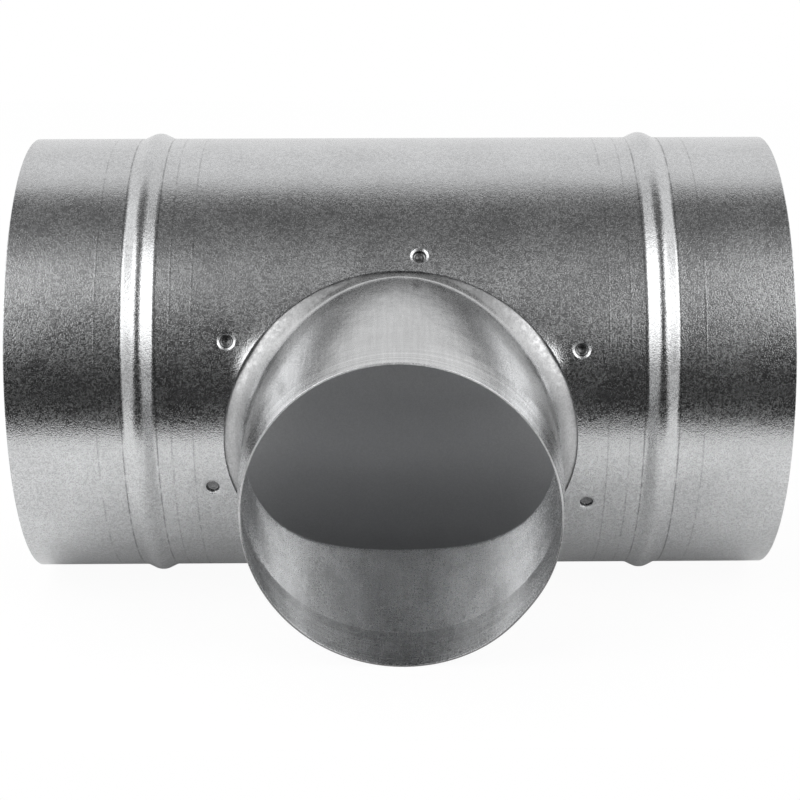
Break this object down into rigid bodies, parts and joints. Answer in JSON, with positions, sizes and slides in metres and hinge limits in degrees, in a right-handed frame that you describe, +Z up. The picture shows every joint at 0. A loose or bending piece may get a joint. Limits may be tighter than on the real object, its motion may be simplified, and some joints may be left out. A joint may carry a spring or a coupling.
{
  "type": "reducing duct tee",
  "caption": "Reducing tee for round ventilation duct: a straight galvanised tube with two stop beads and a smaller round branch drawn from a saddle clinched inside it.",
  "frame": {"origin": "centre of the footprint on the surface that the tee lies on, which is level with the lowest points of its two beads and of the lower edge of its branch mouth", "axes": "+X along the axis of the main tube, +Z up, and the branch points to -Y and down by 12.8 degrees, as the tee lies at rest"},
  "size_m": [0.25, 0.2067, 0.1528],
  "materials": {
    "galvanised_tube": "galvanised sheet with a fine matt grain, lightly reflective",
    "galvanised_saddle": "galvanised sheet drawn smooth, brighter, with fine streaks along the neck"
  },
  "bodies": {
    "root": {"main_tube": "galvanised_tube", "branch_saddle": "galvanised_saddle"}
  },
  "joints": []
}
